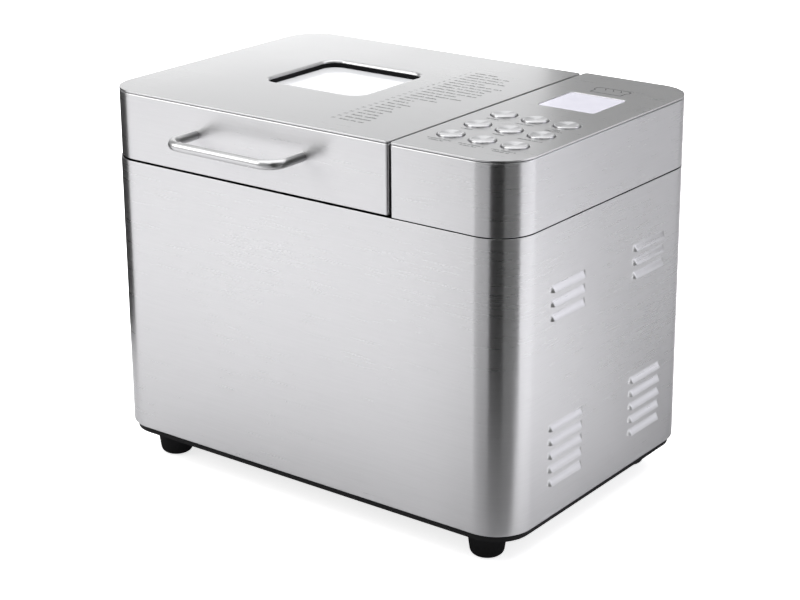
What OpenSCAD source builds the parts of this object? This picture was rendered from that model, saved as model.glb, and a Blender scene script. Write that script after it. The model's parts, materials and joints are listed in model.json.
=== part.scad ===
// Bread machine: steel case on four feet, a hinged lid with a window and a bar handle, a control
// panel with nine push buttons, an oven with a lift-out pan, and a belt-driven kneading paddle.
// +Z is up, the front faces -Y, and z = 0 is the surface it stands on. Millimetres.

/* [Case] */
// Width of the steel case
body_w = 360; // [350:1:460]
// Depth of the steel case
body_d = 241.6; // [236:0.2:300]
// Height of the steel wrap around the body
shell_h = 210.5; // [205:0.5:270]
// Radius of the upright corners
corner_r = 29; // [22:0.5:34]
// Thickness of the case sheet
sheet_t = 1; // [0.8:0.1:1.4]
// Width of the opening that the back panel fills
back_open_w = 270; // [200:1:280]

/* [Base and feet] */
// Height of the base's underside
foot_h = 21.6; // [16:0.2:28]
// How far the base shows below the steel wrap
base_drop = 5; // [4:0.5:8]
// How far the base sits in from the steel wrap
base_inset = 3; // [2.8:0.1:5]
// Wall and floor thickness of the base
base_t = 2.5; // [2:0.1:3.5]
// Radius of a foot where it meets the base
foot_r = 14.5; // [12:0.5:18]
// Distance of a foot's centre from the side of the case
foot_from_side = 34.5; // [30:0.5:60]
// Distance of a foot's centre from the front or back of the case
foot_from_front = 27; // [26:0.5:60]

/* [Louvres] */
// Length of one louvre
louvre_l = 43; // [30:1:50]
// Height of one louvre
louvre_h = 5.2; // [4:0.1:7]
// How far a louvre stands out
louvre_out = 2.5; // [1.5:0.1:3.5]
// Distance between one louvre and the next
louvre_pitch = 10.1; // [8:0.1:13]

/* [Lid] */
// Height of the lid and of the control panel
lid_h = 50.9; // [46:0.1:60]
// Gap between the body and the lid
lid_gap = 1.4; // [1.2:0.1:3]
// Gap between the lid and the control panel
part_gap = 3.3; // [2:0.1:5]
// How far the lid sits in from the case at the front and the left
lid_inset = 0.8; // [0.2:0.1:2]
// How far the lid stops short of the case at the back
lid_back_gap = 3.6; // [3:0.1:8]
// Thickness of the top plates
plate_t = 1.2; // [1:0.1:2]

/* [Window] */
// Width of the window
window_w = 90; // [60:1:110]
// Depth of the window from front to back
window_d = 82.5; // [60:0.5:100]
// Corner radius of the window
window_r = 12; // [6:0.5:20]
// Height of the glass surface below the lid's top
window_sunk = 5.5; // [4.5:0.5:8]
// Thickness of the glass
glass_t = 4; // [3:0.5:4]
// Distance of the window's centre from the left side of the case
window_from_left = 126.7; // [120:0.1:145]
// Distance of the window's centre from the front of the case
window_from_front = 125.8; // [110:0.1:140]

/* [Handle] */
// Diameter of the handle bar
handle_d = 7; // [6:0.5:12]
// Distance between the handle's two legs
handle_pitch = 97.4; // [80:0.2:160]
// Distance of the bar's centre in front of the lid
handle_stand = 30.5; // [22:0.5:40]
// Radius of the handle's bends
handle_bend = 12; // [8:0.5:16]
// Distance of the handle's middle from the left side of the case
handle_from_left = 139.8; // [120:0.1:160]
// Height of the bar above the lid's lower edge
handle_up = 28.3; // [16:0.1:36]

/* [Control panel] */
// Width of the control panel
panel_w = 95.2; // [92:0.2:110]
// Seam between the control panel and the body
panel_seam = 0.8; // [0.6:0.1:2]
// Radius of a button
button_r = 8.75; // [6:0.05:9]
// Gap around a button
button_gap = 0.9; // [0.4:0.1:1.2]
// How far a button stands above the panel
button_proud = 1; // [0.6:0.1:2]
// Travel of a button
button_travel = 0.9; // [0.4:0.1:1.1]
// Distance between button columns
button_pitch_x = 25.5; // [24:0.1:28]
// Distance between button rows
button_pitch_y = 31.4; // [26:0.1:36]
// Distance of the first button row from the front of the case
button_from_front = 40; // [36:0.5:50]
// Width of the display opening
lcd_w = 46.4; // [36:0.2:52]
// Depth of the display opening from front to back
lcd_d = 45.4; // [30:0.2:50]
// Distance of the display's centre from the front of the case
lcd_from_front = 163.2; // [150:0.2:190]

/* [Oven] */
// Inside width of the oven
oven_w = 196; // [190:1:206]
// Inside depth of the oven
oven_d = 152; // [146:1:160]
// Inside corner radius of the oven
oven_r = 24; // [16:1:30]
// Thickness of the oven sheet
oven_t = 1; // [0.8:0.1:1.2]
// Distance of the oven's centre from the left side of the case
oven_from_left = 130; // [128:0.5:140]
// Distance of the oven's centre from the front of the case
oven_from_front = 122; // [118:0.5:130]
// Diameter of the heating element's tube
heater_d = 6.5; // [5:0.5:8]

/* [Bread pan] */
// Outside width of the pan
pan_w = 180; // [160:1:182]
// Outside depth of the pan
pan_d = 136; // [120:1:138]
// Outside corner radius of the pan
pan_r = 22; // [12:1:30]
// Wall thickness of the pan
pan_t = 1.2; // [1:0.1:2]
// Height of the pan
pan_h = 130; // [110:1:132]
// Diameter of the pan handle's wire
bail_d = 5; // [4:0.5:6]
// Reach of the pan handle from its pivots to its bar
bail_reach = 62; // [50:1:63]

/* [Drive] */
// Pitch radius of the driven pulley
driven_r = 54; // [40:1:58]
// Pitch radius of the motor pulley
motor_pulley_r = 9; // [7:0.5:12]
// Radius of the main shaft
shaft_r = 4; // [3:0.5:5]
// Radius of the pan's shaft
pan_shaft_r = 5; // [4:0.5:6]
// Side of the motor's square stator
stator_w = 76; // [60:1:84]
// Height of the motor's stator
stator_h = 30; // [20:1:40]
// Radius of the motor's rotor
rotor_r = 22; // [16:0.5:24]

/* [Hidden] */
$fn = 64;

// Clearances and small sizes that several pieces share
eps = 0.01;
run_fit = 0.05;
slip = 0.3;
screw_r = 1.8;
screw_head_r = 3.6;
screw_head_t = 1.3;
plastic_t = 2.2;
shadow_gap = 0.5;
bend_r = 2;

// Outline of the case
handle_reach = handle_stand + handle_d / 2 - lid_inset;
front = (handle_reach - body_d - screw_head_t) / 2;
back = front + body_d;
right = body_w / 2;
left = -right;

// Heights
base_z = foot_h;
shell_z = base_z + base_drop;
shell_top = shell_z + shell_h;
deck_z = shell_top - 0.6;
deck_t = 2.6;
deck_skirt = 17;
lid_z = shell_top + lid_gap;
top_z = lid_z + lid_h;
plate_z = top_z - plate_t;
band_top = plate_z - shadow_gap;

// Lid and control panel
lid_left = left + lid_inset;
lid_right = right - panel_w - part_gap;
lid_front = front + lid_inset;
lid_back = back - lid_back_gap;
lid_corner_r = corner_r - lid_inset;
panel_left = right - panel_w;
window_x = left + window_from_left;
window_y = front + window_from_front;
glass_z = top_z - window_sunk - glass_t;
gasket_z = glass_z - 1.4;
ceiling_z = gasket_z - oven_t;
handle_x = left + handle_from_left;
handle_z = lid_z + handle_up;
handle_y = lid_front - handle_stand;
handle_r = handle_d / 2;

// Lid hinge: the axis lies inside the lid's back face, so the lid clears the body as it turns
hinge_y = lid_back - 4;
hinge_z = lid_z + 12;
hinge_r = 5.5;
hinge_pin_r = 2;
hinge_ear_t = 4;
hinge_slot = hinge_ear_t + 2;
hinge_pin_l = 20;
knuckle_t = 1;
hinge_x = [lid_left + 62, lid_right - 62];

// Oven, pan and drive line
oven_x = left + oven_from_left;
oven_y = front + oven_from_front;
chassis_z = 46;
chassis_t = 1.5;
oven_z = 56;
oven_top = deck_z - deck_t;
socket_z = oven_z + oven_t;
pan_base_r = 38;
pan_z = 84;
rim_z = pan_z + pan_h;
rim_out = 3;
rim_h = 2.4;
ear_h = 10;
bail_r = bail_d / 2;
bail_z = rim_z + ear_h / 2;
bail_elbow = bail_r + 0.5;
bail_x = pan_w / 2 + slip + bail_elbow;
bail_bend = 8;
recess_gap = 1;

// Pulleys, belt and motor
pulley_z = 27.6;
pulley_h = 10;
flange_t = 1.2;
belt_t = 2.4;
belt_fit = 0.2;
motor_x = (oven_x + oven_w / 2 + oven_t + right - sheet_t) / 2;
motor_y = oven_y;
bolt_off = stator_w / 2 - 7;
grommet_h = 8;
bracket_t = 3;
bracket_z = chassis_z + chassis_t + grommet_h;
winding_h = 10;
stator_z = bracket_z + bracket_t + winding_h + 2;
top_bracket_z = stator_z + stator_h + winding_h + 2;
housing_z = 40;
housing_top = 62;
housing_r = 13;
bush_r = shaft_r + 3;
bush_l = 8;

// Buttons, display and control board
button_x0 = right - 75;
button_y0 = front + button_from_front;
lcd_x = button_x0 + 0.98 * button_pitch_x;
lcd_y = front + lcd_from_front;
board_z = top_z - 20;
board_t = 1.6;
switch_h = 3.5;
switch_top = board_z + board_t + switch_h + 0.8;

// Posts that carry the chassis plate, and the plate's edges
chassis_x0 = left + 28;
chassis_x1 = right - 12;
chassis_y0 = front + 28;
chassis_y1 = back - 34;
post_x = [chassis_x0 + 9, (oven_x + motor_x) / 2, chassis_x1 - 9];
post_y = [chassis_y0 + 9, chassis_y1 - 9];
foot_x = [left + foot_from_side, right - foot_from_side];
foot_y = [front + foot_from_front, back - foot_from_front];

// Back panel
back_z0 = shell_z + 19;
back_z1 = oven_top - deck_skirt - 8;
back_lap = 7;
back_t = 2.5;
gland_x = back_open_w / 2 - 30;
gland_z = back_z0 + 18;
gland_r = 7.5;

// Places of the screws under the lid
lid_screw_x = [lid_left + 14, lid_right - 14];
lid_screw_y = [lid_front + 30, lid_front + 120, lid_back - 32];

// Rectangle from one corner to the other, with its left and right corners rounded
module rounded(x0, y0, x1, y1, rl, rr) {
    translate([x0 + rl, y0]) square([x1 - rr - x0 - rl, y1 - y0]);
    translate([x0, y0 + rl]) square([rl, y1 - y0 - 2 * rl]);
    translate([x1 - rr, y0 + rr]) square([rr, y1 - y0 - 2 * rr]);
    for (y = [y0 + rl, y1 - rl]) translate([x0 + rl, y]) circle(rl);
    for (y = [y0 + rr, y1 - rr]) translate([x1 - rr, y]) circle(rr);
}

// Rounded rectangle given by its centre and size
module pad(x, y, w, d, r) {
    rounded(x - w / 2, y - d / 2, x + w / 2, y + d / 2, r, r);
}

// Extrudes what follows from one height to another
module lift(z0, z1) {
    translate([0, 0, z0]) linear_extrude(z1 - z0) children();
}

module case_outline(inset) {
    r = corner_r - inset;
    rounded(left + inset, front + inset, right - inset, back - inset, r, r);
}

module lid_outline(inset) {
    rl = lid_corner_r - inset;
    rr = max(bend_r - inset, 0.6);
    rounded(lid_left + inset, lid_front + inset, lid_right - inset, lid_back - inset, rl, rr);
}

module panel_outline(inset) {
    rl = max(bend_r - inset, 0.6);
    rr = corner_r - inset;
    rounded(panel_left + inset, front + inset, right - inset, back - inset, rl, rr);
}

// Pan-head screw at the origin, its head below z = 0 and its shank going up
module screw(length) {
    cylinder(h = length, r = screw_r);
    translate([0, 0, -screw_head_t]) difference() {
        cylinder(h = screw_head_t, r = screw_head_r);
        translate([0, 0, -eps]) cylinder(h = 0.8, r = 1.5, $fn = 6);
    }
}

// Upright tube
module tube(x, y, z0, z1, r_out, r_in) {
    translate([x, y, z0]) difference() {
        cylinder(h = z1 - z0, r = r_out);
        translate([0, 0, -1]) cylinder(h = z1 - z0 + 2, r = r_in);
    }
}

// Quarter ring of round bar about a point, starting at an angle
module bend(x, y, z, r_bend, r_bar, start) {
    translate([x, y, z]) rotate([0, 0, start])
        rotate_extrude(angle = 90) translate([r_bend, 0]) circle(r_bar);
}

// Round bars along X and along Y
module bar_x(x0, x1, y, z, r) {
    translate([x0, y, z]) rotate([0, 90, 0]) cylinder(h = x1 - x0, r = r);
}

module bar_y(x, y0, y1, z, r) {
    translate([x, y1, z]) rotate([90, 0, 0]) cylinder(h = y1 - y0, r = r);
}

// Middles of the louvres on one side: two upper groups of three and two lower groups of five
louvre_y = [front + 69.5, back - 66.3];
louvre_z = concat(
    [for (i = [0:2]) shell_top - 43.4 - i * louvre_pitch],
    [for (i = [0:4]) shell_z + 27 + i * louvre_pitch]
);

// Side outline of a louvre, hood and hollow, at the origin: x is outwards and y is up
module louvre_hood() {
    h = louvre_h / 2;
    polygon([[-sheet_t, h], [0, h], [louvre_out, -h], [-sheet_t, -h]]);
}

module louvre_hollow() {
    h = louvre_h / 2;
    polygon([[-2 * sheet_t, h - 1.2], [-0.5, h - 1.2], [louvre_out - 0.7, 0.6 - h],
        [louvre_out - 0.7, -h - 0.4], [-2 * sheet_t, -h - 0.4]]);
}

// All louvres of the right side, as solids of the outline that follows
module louvres(length) {
    for (y = louvre_y, z = louvre_z)
        translate([right, y + length / 2, z]) rotate([90, 0, 0]) linear_extrude(length) children();
}

module both_sides() {
    children();
    mirror([1, 0, 0]) children();
}

module body_shell() color("silver") {
    difference() {
        union() {
            difference() {
                lift(shell_z, shell_top) case_outline(0);
                lift(shell_z + 1.2, shell_top + 1) case_outline(sheet_t);
                lift(shell_z - 1, shell_z + 2) case_outline(base_inset - slip);
            }
            both_sides() louvres(louvre_l) louvre_hood();
        }
        both_sides() louvres(louvre_l - 2) louvre_hollow();
        translate([-back_open_w / 2, back - 5, back_z0]) cube([back_open_w, 10, back_z1 - back_z0]);
        back_screws() translate([0, 0, -1]) cylinder(h = 10, r = screw_r + 0.1);
    }
}

// Places of the back panel's screws, each pointing into the case
module back_screws() {
    off = back_open_w / 2 + back_lap / 2;
    for (x = [-off, off], z = [back_z0 + 12, (back_z0 + back_z1) / 2, back_z1 - 12])
        translate([x, back, z]) rotate([90, 0, 0]) children();
}

module back_panel() color("dimgray") {
    w = back_open_w + 2 * back_lap;
    difference() {
        union() {
            translate([-w / 2, back - sheet_t - back_t, back_z0 - back_lap])
                cube([w, back_t, back_z1 - back_z0 + 2 * back_lap]);
            translate([slip - back_open_w / 2, back - 2 * sheet_t, back_z0 + slip])
                cube([back_open_w - 2 * slip, 2 * sheet_t, back_z1 - back_z0 - 2 * slip]);
        }
        for (i = [-9:9], z = [back_z1 - 50, back_z1 - 92])
            translate([i * 8 - 1.75, back - 10, z]) cube([3.5, 20, 34]);
        back_screws() translate([0, 0, -1]) cylinder(h = 10, r = screw_r);
        bar_y(gland_x, back - 10, back + 5, gland_z, gland_r);
    }
}

module base_tray() color("black") {
    wall_top = shell_z + 12;
    floor_top = base_z + base_t;
    difference() {
        union() {
            lift(base_z, wall_top) case_outline(base_inset);
            lift(shell_z + 1.2, shell_z + 3) case_outline(sheet_t + slip);
        }
        lift(floor_top, wall_top + 1) case_outline(base_inset + base_t);
        for (x = foot_x, y = foot_y)
            translate([x, y, base_z - 1]) cylinder(h = 20, r = screw_r);
        for (i = [-4:4])
            translate([motor_x + i * 8 - 2, motor_y + 34, base_z - 1]) cube([4, 46, 10]);
    }
    for (x = foot_x, y = foot_y)
        tube(x, y, floor_top - eps, wall_top - 2, 6, screw_r);
    for (x = post_x, y = post_y)
        tube(x, y, floor_top - eps, chassis_z, 5, screw_r);
}

// Foot: a tapered rubber puck with a round lower edge and a counterbore for its screw
module feet() color("black") {
    bottom_r = foot_r - 2.2;
    edge = 5;
    for (x = foot_x, y = foot_y) translate([x, y, 0]) difference() {
        rotate_extrude() difference() {
            union() {
                square([bottom_r - edge, foot_h]);
                translate([0, edge]) square([bottom_r, foot_h - edge]);
                translate([bottom_r - edge, edge]) circle(edge);
                polygon([[0, edge], [bottom_r, edge], [foot_r, foot_h], [0, foot_h]]);
            }
            translate([-foot_r, 0]) square([foot_r, foot_h]);
        }
        translate([0, 0, -1]) cylinder(h = foot_h + 2, r = screw_r + 0.2);
        translate([0, 0, -1]) cylinder(h = 11, r = screw_head_r + 0.9);
    }
}

module case_screws() color("lightgray") {
    for (x = foot_x, y = foot_y) translate([x, y, 10]) screw(foot_h - 10 + 11);
    back_screws() screw(9);
    for (x = post_x, y = post_y)
        translate([x, y, chassis_z + chassis_t]) mirror([0, 0, 1]) screw(14);
}

module chassis_plate() color("gainsboro") {
    difference() {
        lift(chassis_z, chassis_z + chassis_t)
            rounded(chassis_x0, chassis_y0, chassis_x1, chassis_y1, 6, 6);
        translate([oven_x, oven_y, chassis_z - 1]) cylinder(h = 5, r = housing_r);
        translate([motor_x, motor_y, chassis_z - 1]) cylinder(h = 5, r = 14);
        for (x = post_x, y = post_y)
            translate([x, y, chassis_z - 1]) cylinder(h = 5, r = screw_r + 0.1);
        motor_corners() translate([0, 0, chassis_z - 1]) cylinder(h = 5, r = screw_r + 0.3);
    }
}

module motor_corners() {
    for (x = [-bolt_off, bolt_off], y = [-bolt_off, bolt_off])
        translate([motor_x + x, motor_y + y, 0]) children();
}

// Frame at the top of the body: it closes the case around the oven's mouth
module deck_frame() color("black") {
    in = sheet_t + slip;
    difference() {
        union() {
            lift(oven_top, deck_z) case_outline(in);
            lift(oven_top - deck_skirt, deck_z) difference() {
                case_outline(in);
                case_outline(in + plastic_t);
            }
        }
        lift(oven_top - 1, deck_z + 1) pad(oven_x, oven_y, oven_w, oven_d, oven_r);
        lift(oven_top - 1, deck_z + 1)
            rounded(panel_left + 16, front + 40, right - 22, back - 40, 6, 6);
        for (x = hinge_x) hinge_stem_space(x);
    }
}

module hinge_stem_space(x) {
    w = hinge_ear_t + 2 * slip;
    d = 2 * (hinge_r - 1.9) + 2 * slip;
    translate([x - w / 2, hinge_y - d / 2, oven_top - 1]) cube([w, d, deck_t + 2]);
}

module hinge_brackets() color("gray") {
    stem = hinge_r - 1.9;
    foot_z = oven_top - 2;
    for (x = hinge_x) difference() {
        union() {
            bar_x(x - hinge_ear_t / 2, x + hinge_ear_t / 2, hinge_y, hinge_z, hinge_r);
            translate([x - hinge_ear_t / 2, hinge_y - stem, foot_z])
                cube([hinge_ear_t, 2 * stem, hinge_z - foot_z]);
            translate([x - 11, hinge_y - 10, foot_z]) cube([22, 10 + stem, 2]);
        }
        bar_x(x - 10, x + 10, hinge_y, hinge_z, hinge_pin_r + run_fit);
    }
}

module oven_liner() color("lightsteelblue") {
    wall = 2 * oven_t;
    difference() {
        union() {
            lift(oven_z, oven_top) pad(oven_x, oven_y, oven_w + wall, oven_d + wall, oven_r + oven_t);
            lift(oven_top - oven_t, oven_top)
                pad(oven_x, oven_y, oven_w + 18, oven_d + 18, oven_r + 9);
        }
        lift(socket_z, oven_top + 1) pad(oven_x, oven_y, oven_w, oven_d, oven_r);
        translate([oven_x, oven_y, oven_z - 1]) cylinder(h = 5, r = housing_r + 1);
        for (y = [-heater_leg, heater_leg])
            bar_x(oven_x, oven_x + oven_w, oven_y + y, heater_z, heater_d / 2 + 0.2);
        bar_x(oven_x - oven_w, oven_x, probe_y, probe_z, probe_r + 0.1);
    }
}

// Heating element: a round tube in a loop under the pan, its two ends leaving through the wall
heater_z = 70;
heater_leg = 12;
heater_bend = 26;
heater_hw = oven_w / 2 - 20;
heater_hd = oven_d / 2 - 16;

module heating_element() color("dimgray") {
    r = heater_d / 2;
    x0 = oven_x - heater_hw;
    x1 = oven_x + heater_hw;
    turn = 8;
    for (s = [-1, 1]) {
        y = oven_y + s * heater_hd;
        bar_x(x0 + heater_bend, x1 - heater_bend, y, heater_z, r);
        bend(x0 + heater_bend, y - s * heater_bend, heater_z, heater_bend, r, s > 0 ? 90 : 180);
        bend(x1 - heater_bend, y - s * heater_bend, heater_z, heater_bend, r, s > 0 ? 0 : 270);
        ya = oven_y + s * (heater_leg + turn);
        yb = y - s * heater_bend;
        bar_y(x1, min(ya, yb), max(ya, yb), heater_z, r);
        bend(x1 + turn, ya, heater_z, turn, r, s > 0 ? 180 : 90);
        bar_x(x1 + turn, oven_x + oven_w / 2 + 14, oven_y + s * heater_leg, heater_z, r);
        bar_x(oven_x + oven_w / 2 + 14, oven_x + oven_w / 2 + 22, oven_y + s * heater_leg, heater_z, 1.5);
    }
    bar_y(x0, oven_y - heater_hd + heater_bend, oven_y + heater_hd - heater_bend, heater_z, r);
}

probe_y = oven_y + 20;
probe_z = 120;
probe_r = 2.5;

// Temperature probe through the oven's left wall, and the thermal fuse strapped to its right wall
module oven_sensors() color("gray") {
    wall_x = oven_x - oven_w / 2;
    fuse_x = oven_x + oven_w / 2 + oven_t;
    fuse_z = probe_z + 37;
    bar_x(wall_x - 14, wall_x + 5, probe_y, probe_z, probe_r);
    bar_x(wall_x - oven_t - 4, wall_x - oven_t, probe_y, probe_z, 6);
    translate([fuse_x, oven_y - 40, fuse_z - 7]) cube([1, 34, 14]);
    translate([fuse_x + 1 - eps, oven_y - 28, fuse_z - 5]) cube([5, 10, 10]);
    bar_y(fuse_x + 3.5, oven_y - 38, oven_y - 8, fuse_z, 2);
}

// Socket on the oven floor that the pan's base ring drops into
module pan_socket() color("lightgray") {
    tube(oven_x, oven_y, socket_z, socket_z + 14, pan_base_r + 5, pan_base_r + 1);
    tube(oven_x, oven_y, socket_z, socket_z + 1.5, pan_base_r + 10, pan_base_r + 1);
}

// Spring clips at each side of the socket, their noses reaching over its rim
module socket_clips() color("lightsteelblue") {
    x0 = pan_base_r + 5;
    for (s = [0, 180]) translate([oven_x, oven_y, 0]) rotate([0, 0, s]) {
        translate([x0, -6, socket_z + 1.5]) cube([1.2, 12, 14]);
        translate([pan_base_r + 0.5, -6, socket_z + 14]) cube([x0 + 1.2 - pan_base_r - 0.5, 12, 1.5]);
    }
}

// Bearing housing of the main shaft, bolted to the chassis plate
module shaft_housing() color("silver") {
    tube(oven_x, oven_y, housing_z, housing_top, housing_r, bush_r);
    tube(oven_x, oven_y, chassis_z + chassis_t, chassis_z + chassis_t + 3.5, 30, bush_r);
}

module shaft_bushes() color("darkgoldenrod") {
    for (z = [housing_z, housing_top - bush_l])
        tube(oven_x, oven_y, z, z + bush_l, bush_r, shaft_r + run_fit);
}

module main_shaft() color("lightgray") {
    translate([oven_x, oven_y, pulley_z - 1]) cylinder(h = 74 - pulley_z + 1, r = shaft_r);
}

// Pulley: a grooved rim between two flanges, with a web and a hub
module pulley(x, y, r, bore, hub_r, hub_top, web_holes) {
    translate([x, y, pulley_z]) difference() {
        union() {
            cylinder(h = pulley_h, r = r);
            for (z = [0, pulley_h - flange_t]) translate([0, 0, z]) cylinder(h = flange_t, r = r + 2.6);
            cylinder(h = hub_top, r = hub_r);
        }
        translate([0, 0, -1]) cylinder(h = 40, r = bore);
        if (web_holes) {
            translate([0, 0, 4]) difference() {
                cylinder(h = 20, r = r - 4);
                translate([0, 0, -1]) cylinder(h = 30, r = hub_r);
            }
            for (a = [0:60:300]) rotate([0, 0, a]) translate([(r + hub_r) / 2, 0, -1])
                cylinder(h = 20, r = r / 5);
        }
    }
}

module driven_pulley() color("whitesmoke") {
    pulley(oven_x, oven_y, driven_r, shaft_r, 11, pulley_h + 2, true);
}

// Two-bladed dog on top of the main shaft
module drive_coupling() color("gray") {
    translate([oven_x, oven_y, housing_top + 0.5]) difference() {
        union() {
            cylinder(h = 7.5, r = 9);
            translate([-14, -2.5, 3.5]) cube([28, 5, 9]);
        }
        translate([0, 0, -1]) cylinder(h = 20, r = shaft_r);
    }
}

module belt_loop(grow, fn) {
    hull() {
        translate([oven_x, oven_y]) circle(driven_r + belt_fit + grow, $fn = fn);
        translate([motor_x, motor_y]) circle(motor_pulley_r + belt_fit + grow, $fn = fn);
    }
}

module drive_belt() color("black") {
    gap = flange_t + 0.4;
    lift(pulley_z + gap, pulley_z + pulley_h - gap) difference() {
        belt_loop(belt_t, 96);
        belt_loop(0, 96);
    }
}

module motor_pulley() color("whitesmoke") {
    pulley(motor_x, motor_y, motor_pulley_r, shaft_r, 7, pulley_h + 2, false);
}

module motor_shaft() color("lightgray") {
    translate([motor_x, motor_y, pulley_z - 1])
        cylinder(h = top_bracket_z + bracket_t + 20 - pulley_z, r = shaft_r);
}

module motor_rotor() color("darkgray") {
    tube(motor_x, motor_y, stator_z - 1, stator_z + stator_h + 1, rotor_r, shaft_r);
}

module motor_fan() color("whitesmoke") {
    z = top_bracket_z + bracket_t + 3;
    tube(motor_x, motor_y, z, z + 13, 9, shaft_r);
    tube(motor_x, motor_y, z, z + 1.6, stator_w / 2 - 4, 9 - eps);
    for (a = [0:45:315]) translate([motor_x, motor_y, z + 1.6 - eps]) rotate([0, 0, a])
        translate([9 - 0.5, -0.8, 0]) cube([stator_w / 2 - 14, 1.6, 11]);
}

module motor_stator() color("slategray") {
    difference() {
        lift(stator_z, stator_z + stator_h) pad(motor_x, motor_y, stator_w, stator_w, 5);
        translate([motor_x, motor_y, stator_z - 1]) cylinder(h = stator_h + 2, r = rotor_r + 0.6);
        motor_corners() translate([0, 0, stator_z - 1]) cylinder(h = stator_h + 2, r = screw_r + 0.1);
    }
}

module motor_windings() color("peru") {
    for (z = [stator_z - winding_h, stator_z + stator_h])
        tube(motor_x, motor_y, z, z + winding_h, stator_w / 2 - 5, rotor_r + 2);
}

module motor_brackets() color("silver") {
    for (z = [bracket_z, top_bracket_z]) {
        difference() {
            union() {
                lift(z, z + bracket_t) pad(motor_x, motor_y, stator_w, stator_w, 8);
                z1 = z == bracket_z ? z + bracket_t : z - 2;
                translate([motor_x, motor_y, z1 - eps]) cylinder(h = 2 + 2 * eps, r = 10);
                z2 = z == bracket_z ? z + bracket_t : stator_z + stator_h;
                motor_corners() translate([0, 0, z2 - eps]) cylinder(h = winding_h + 2 + 2 * eps, r = 4);
            }
            translate([motor_x, motor_y, z - 5]) cylinder(h = 20, r = shaft_r + run_fit);
            motor_corners() translate([0, 0, z - 30]) cylinder(h = 60, r = screw_r + 0.1);
            for (a = [0:90:270]) translate([motor_x, motor_y, z - 3]) rotate([0, 0, a])
                translate([22, 0, 0]) cylinder(h = 12, r = 7);
        }
    }
}

module motor_grommets() color("black") {
    z = chassis_z + chassis_t;
    motor_corners() tube(0, 0, z, z + grommet_h, 7, screw_r + 0.3);
}

module motor_bolts() color("lightgray") {
    length = top_bracket_z + bracket_t - chassis_z + 6;
    motor_corners() translate([0, 0, top_bracket_z + bracket_t]) mirror([0, 0, 1]) {
        screw(length);
        translate([0, 0, length - 6]) cylinder(h = 3, r = 3.4, $fn = 6);
    }
}

module run_capacitor() color("whitesmoke") {
    z = chassis_z + chassis_t;
    x = motor_x + 28;
    y = motor_y - stator_w / 2 - 26;
    translate([x, y, z]) cylinder(h = 46, r = 14);
    for (s = [-4, 4]) translate([x + s - 0.4, y - 3, z + 46 - eps]) cube([0.8, 6, 8]);
    tube(x, y, z, z + 8, 16, 14 - eps);
}

// Power board on edge behind the motor, with its transformer, relay, fuse and capacitors
module power_board() color("darkgreen") {
    y = motor_y + stator_w / 2 + 42;
    z = chassis_z + chassis_t + 6;
    translate([motor_x - 46, y, z]) cube([92, 1.6, 78]);
    for (x = [-40, 30]) {
        translate([motor_x + x, y - 12, z - 6]) cube([10, 13.6, 1.5]);
        translate([motor_x + x, y - 1.5, z - 6]) cube([10, 1.5, 18]);
    }
    translate([motor_x - 36, y - 26, z + 34]) cube([32, 26, 30]);
    translate([motor_x + 6, y - 16, z + 44]) cube([18, 16, 15]);
    translate([motor_x + 28, y - 16, z + 44]) cube([14, 16, 15]);
    bar_y(motor_x + 14, y - 22, y, z + 24, 8);
    bar_y(motor_x + 34, y - 12, y, z + 26, 5);
    bar_x(motor_x - 26, motor_x - 4, y - 4, z + 22, 2.6);
    translate([motor_x - 26, y - 5, z + 20.5]) cube([22, 5, 3]);
}

module cord_gland() color("black") {
    difference() {
        union() {
            bar_y(gland_x, back, back + 1, gland_z, gland_r + 3);
            bar_y(gland_x, back - 18, back + 0.5, gland_z, gland_r);
        }
        bar_y(gland_x, back - 30, back + 5, gland_z, 4);
    }
}

module bread_pan() color("dimgray") {
    ear_x = pan_w / 2 - 2;
    floor_z = pan_z + pan_t;
    difference() {
        union() {
            lift(pan_z, rim_z) pad(oven_x, oven_y, pan_w, pan_d, pan_r);
            lift(rim_z - rim_h, rim_z)
                pad(oven_x, oven_y, pan_w + 2 * rim_out, pan_d + 2 * rim_out, pan_r + rim_out);
        }
        lift(floor_z, rim_z + 1) pad(oven_x, oven_y, pan_w - 2 * pan_t, pan_d - 2 * pan_t, pan_r - pan_t);
        translate([oven_x, oven_y, pan_z - 1]) cylinder(h = 10, r = 8);
    }
    for (s = [0, 180]) translate([oven_x, oven_y, 0]) rotate([0, 0, s]) difference() {
        union() {
            translate([ear_x, -8, rim_z - 14]) cube([2, 16, 14 + ear_h / 2]);
            bar_x(ear_x, ear_x + 2, 0, bail_z, 6);
        }
        bar_x(ear_x - 5, ear_x + 5, 0, bail_z, bail_r + run_fit);
    }
}

// Cast ring under the pan: it seats in the socket and holds the pan shaft's bearing
module pan_base() color("gray") {
    tube(oven_x, oven_y, socket_z + 2, pan_z, pan_base_r, pan_base_r - 4);
    tube(oven_x, oven_y, pan_z - 4, pan_z, pan_base_r - 4 + eps, pan_shaft_r + run_fit);
    tube(oven_x, oven_y, pan_z - eps, pan_z + 5, 8, pan_shaft_r + run_fit);
}

module pan_shaft() color("lightgray") {
    translate([oven_x, oven_y, 76.5]) cylinder(h = 34.5, r = pan_shaft_r);
}

// Slotted dog under the pan: the blades of the drive coupling stand in its slot
module pan_coupling() color("silver") {
    translate([oven_x, oven_y, 66.5]) difference() {
        cylinder(h = 12.5, r = 17);
        translate([0, 0, -1]) cylinder(h = 10.5, r = 10);
        translate([-15, -3, -1]) cube([30, 6, 10.5]);
        translate([0, 0, -1]) cylinder(h = 20, r = pan_shaft_r);
    }
}

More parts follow.
